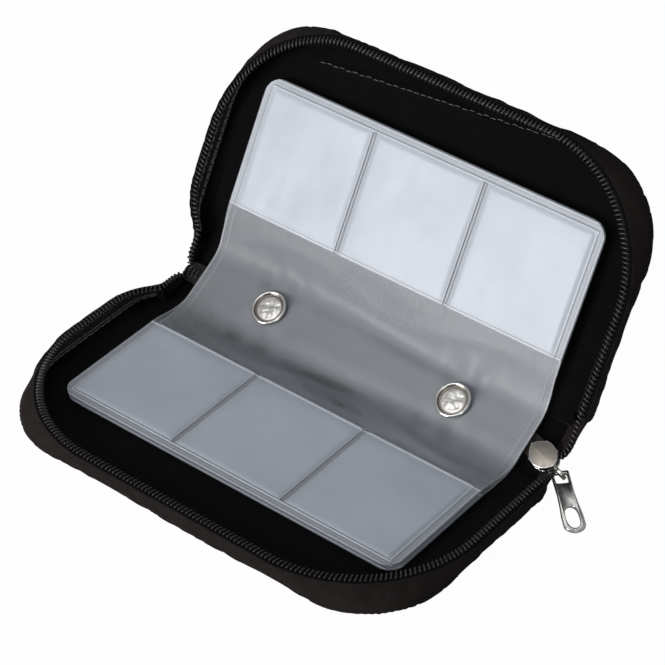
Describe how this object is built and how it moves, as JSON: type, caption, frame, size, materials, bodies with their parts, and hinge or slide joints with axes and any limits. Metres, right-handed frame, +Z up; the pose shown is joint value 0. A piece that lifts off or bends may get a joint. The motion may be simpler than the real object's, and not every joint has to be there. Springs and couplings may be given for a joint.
{
  "type": "memory card case",
  "caption": "Zipped soft case for memory cards: two padded covers on a fabric spine, with clear pocket sheets held inside by press studs.",
  "frame": {"origin": "centre of the lower cover's underside, on the surface that the case stands on", "axes": "+X along the spine towards the zip slider, +Y from the lower cover towards the spine, +Z up"},
  "size_m": [0.1568, 0.1264, 0.077],
  "materials": {
    "nylon": "woven black nylon",
    "lining": "matte black lining",
    "board": "stiffener board",
    "zip_tape": "woven black tape",
    "zip_coil": "black nylon coil",
    "nickel_zip": "polished nickel",
    "nickel_snap": "polished nickel",
    "clear_film": "translucent soft film"
  },
  "bodies": {
    "lower_cover": {"lower_outer_panel": "nylon", "lower_board": "board", "lower_lining": "lining", "lower_wall_band": "nylon", "lower_wall_lining": "lining", "lower_zip_tape": "zip_tape", "lower_zip_coil": "zip_coil", "near_top_flap": "clear_film", "near_under_flap": "clear_film"},
    "spine": {"spine_outer": "nylon", "spine_board": "board", "spine_lining": "lining", "snap_studs": "nickel_snap", "snap_washers": "nickel_snap", "right_zip_stub": "zip_tape", "left_zip_stub": "zip_tape", "zip_bottom_stop": "nickel_zip", "right_zip_strands": "zip_tape", "left_zip_strands": "zip_tape", "right_gusset": "nylon", "left_gusset": "nylon", "snap_caps": "nickel_snap", "snap_sockets": "nickel_snap", "top_strip": "clear_film", "under_strip": "clear_film"},
    "upper_cover": {"upper_outer_panel": "nylon", "upper_board": "board", "upper_lining": "lining", "upper_wall_band": "nylon", "upper_wall_lining": "lining", "upper_zip_tape": "zip_tape", "upper_zip_coil": "zip_coil", "far_top_flap": "clear_film", "far_under_flap": "clear_film"},
    "slider": {"slider_body": "nickel_zip", "slider_bail": "nickel_zip"},
    "pull": {"pull_tab": "nickel_zip"},
    "near_under_page": {"near_under_core": "clear_film", "near_under_front": "clear_film", "near_under_back": "clear_film"},
    "near_top_page": {"near_top_core": "clear_film", "near_top_front": "clear_film", "near_top_back": "clear_film"},
    "far_under_page": {"far_under_core": "clear_film", "far_under_front": "clear_film", "far_under_back": "clear_film"},
    "far_top_page": {"far_top_core": "clear_film", "far_top_front": "clear_film", "far_top_back": "clear_film"}
  },
  "joints": [
    {"name": "spine_fold", "type": "hinge", "parent": "lower_cover", "child": "spine", "pos_m": [0, 0.037, 0.0004], "axis": [-1, 0, 0], "range_deg": [-60, 30], "deforming": ["right_zip_strands", "left_zip_strands", "right_gusset", "left_gusset", "near_top_flap", "near_under_flap"]},
    {"name": "cover_fold", "type": "hinge", "parent": "spine", "child": "upper_cover", "pos_m": [0, 0.05051, 0.0082], "axis": [-1, 0, 0], "range_deg": [-60, 30], "deforming": ["far_top_flap", "far_under_flap"]},
    {"name": "near_under_page_turn", "type": "hinge", "parent": "lower_cover", "child": "near_under_page", "pos_m": [0, 0.0205, 0.00282], "axis": [-1, 0, 0], "range_deg": [0, 35]},
    {"name": "near_top_page_turn", "type": "hinge", "parent": "near_under_page", "child": "near_top_page", "pos_m": [0, 0.0205, 0.00428], "axis": [-1, 0, 0], "range_deg": [0, 50]},
    {"name": "far_under_page_turn", "type": "hinge", "parent": "upper_cover", "child": "far_under_page", "pos_m": [0, 0.05612, 0.02517], "axis": [1, 0, 0], "range_deg": [0, 35]},
    {"name": "far_top_page_turn", "type": "hinge", "parent": "far_under_page", "child": "far_top_page", "pos_m": [0, 0.05486, 0.02589], "axis": [1, 0, 0], "range_deg": [0, 50]},
    {"name": "slider_travel", "type": "slide", "parent": "spine", "child": "slider", "axis": [0.9613, -0.2387, -0.1378], "range_m": [0, 0.004]},
    {"name": "pull_swing", "type": "hinge", "parent": "slider", "child": "pull", "pos_m": [0.06839, 0.04106, 0.00199], "axis": [0.682, 0.7314, 0], "range_deg": [0, 110]}
  ]
}
